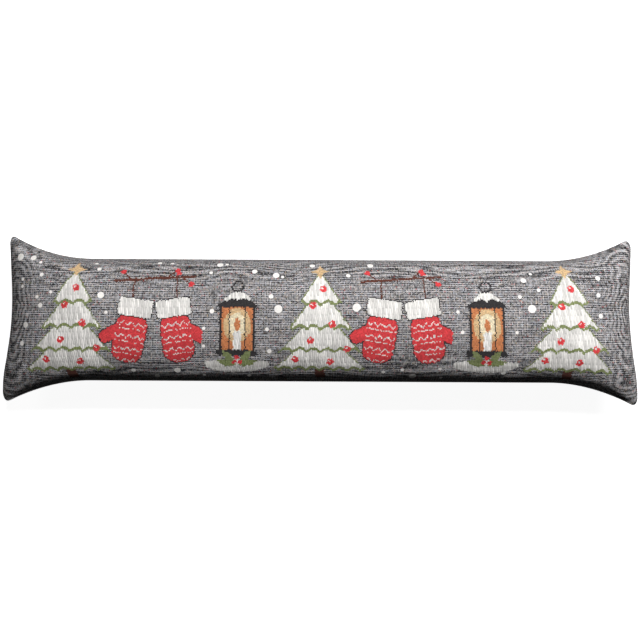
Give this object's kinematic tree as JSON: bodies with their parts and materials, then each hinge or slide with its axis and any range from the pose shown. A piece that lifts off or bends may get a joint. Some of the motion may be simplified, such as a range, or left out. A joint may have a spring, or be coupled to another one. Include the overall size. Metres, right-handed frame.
{
  "type": "draught excluder",
  "caption": "Long filled cushion of woven cloth that lies along the foot of a door or window to stop draughts.",
  "frame": {"origin": "centre of the cushion's footprint, on the surface that it lies on", "axes": "+X along the length, +Y across the woven face towards its upper long side, +Z out of the woven face"},
  "size_m": [0.7988, 0.212, 0.107],
  "materials": {
    "woven_cover": "matt jacquard weave in grey with white, red, green and ochre motifs"
  },
  "bodies": {
    "root": {"filled_cover": "woven_cover"}
  },
  "joints": []
}
